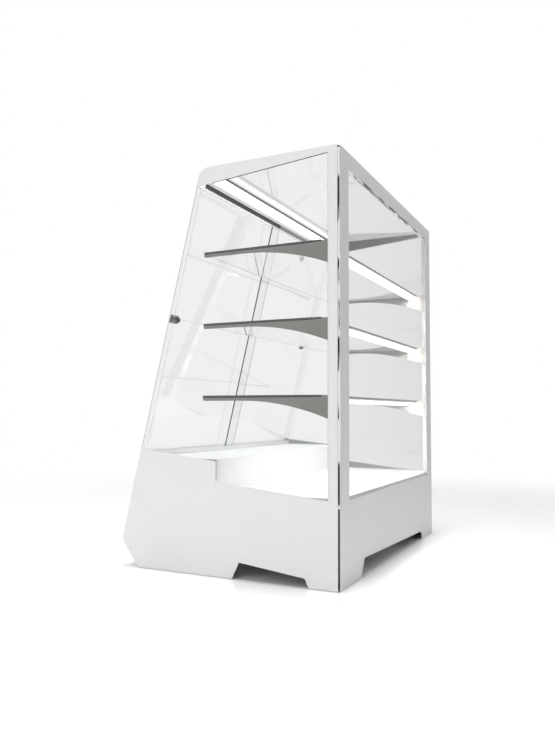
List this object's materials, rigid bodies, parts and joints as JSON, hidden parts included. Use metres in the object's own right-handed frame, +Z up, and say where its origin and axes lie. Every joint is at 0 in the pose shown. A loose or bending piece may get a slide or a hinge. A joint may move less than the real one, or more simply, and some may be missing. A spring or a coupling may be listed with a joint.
{
  "type": "bakery display case",
  "caption": "Countertop bakery display case: glazed cabinet with vertical front, leaning rear with sliding glass doors, glass shelves on tapered brackets and a white base on cut-out feet.",
  "frame": {"origin": "centre of the footprint, on the surface the case stands on", "axes": "+Z up, -Y towards the customer, +Y towards the operator, +X to the right seen from the customer side"},
  "size_m": [0.85, 0.592, 1],
  "materials": {
    "white_paint": "smooth satin powder coat",
    "white_aluminium": "satin powder coat on extruded aluminium",
    "grey_paint": "warm grey satin powder coat",
    "clear_glass": "clear toughened, polished edges",
    "shelf_glass": "clear toughened, polished edges",
    "opal_diffuser": "opal, lit from behind",
    "dark_aluminium": "dark grey anodised",
    "polished_aluminium": "bright anodised",
    "gasket_rubber": "matt",
    "chassis_steel": "dark grey powder coat",
    "zinc_steel": "zinc plated",
    "black_plastic": "fine matt moulded",
    "clear_vinyl": "clear",
    "white_plastic": "moulded",
    "cable_sheath": "matt"
  },
  "bodies": {
    "cabinet": {"side_panel_left": "white_paint", "side_panel_right": "white_paint", "front_mask": "white_paint", "front_glass": "clear_glass", "side_glass_left": "clear_glass", "side_glass_right": "clear_glass", "roof_glass": "clear_glass", "roof_rear_cap": "white_paint", "roof_gasket": "gasket_rubber", "roof_rail_left": "dark_aluminium", "roof_rail_right": "dark_aluminium", "roof_rail_front": "polished_aluminium", "roof_lamp_profile": "white_aluminium", "roof_lamp_diffuser": "opal_diffuser", "upright_left": "white_paint", "upright_right": "white_paint", "shelf_glass_1": "shelf_glass", "shelf_glass_2": "shelf_glass", "shelf_glass_3": "shelf_glass", "shelf_bracket_left_1": "grey_paint", "shelf_bracket_left_2": "grey_paint", "shelf_bracket_left_3": "grey_paint", "shelf_bracket_right_1": "grey_paint", "shelf_bracket_right_2": "grey_paint", "shelf_bracket_right_3": "grey_paint", "shelf_rail_1": "white_aluminium", "shelf_rail_2": "white_aluminium", "shelf_rail_3": "white_aluminium", "shelf_diffuser_1": "opal_diffuser", "shelf_diffuser_2": "opal_diffuser", "shelf_diffuser_3": "opal_diffuser", "deck_pan": "white_paint", "rear_platform": "white_paint", "deck_bearers": "chassis_steel", "service_panel": "white_paint", "rear_kick": "white_paint", "chassis_side_left": "chassis_steel", "chassis_side_right": "chassis_steel", "chassis_front": "chassis_steel", "base_tray": "zinc_steel", "levelling_feet": "black_plastic", "foot_nuts": "zinc_steel", "door_track_top": "white_aluminium", "door_track_bottom": "white_aluminium", "lamp_driver": "white_plastic", "driver_lead": "cable_sheath", "cord_gland": "black_plastic", "gland_nut": "black_plastic", "switch_housing": "black_plastic"},
    "door_left": {"door_glass_left": "clear_glass", "door_seal_left": "clear_vinyl", "door_knob_left": "black_plastic", "knob_screw_left": "black_plastic", "door_gliders_left": "black_plastic"},
    "door_right": {"door_glass_right": "clear_glass", "door_seal_right": "clear_vinyl", "door_knob_right": "black_plastic", "knob_screw_right": "black_plastic", "door_gliders_right": "black_plastic"},
    "rocker": {"switch_rocker": "black_plastic"}
  },
  "joints": [
    {"name": "door_left_slide", "type": "slide", "parent": "cabinet", "child": "door_left", "axis": [1, 0, 0], "range_m": [0, 0.36]},
    {"name": "door_right_slide", "type": "slide", "parent": "cabinet", "child": "door_right", "axis": [-1, 0, 0], "range_m": [0, 0.36]},
    {"name": "rocker_tilt", "type": "hinge", "parent": "cabinet", "child": "rocker", "pos_m": [-0.3, 0.26609, 0.1893], "axis": [-1, 0, 0], "range_deg": [0, 16]}
  ]
}
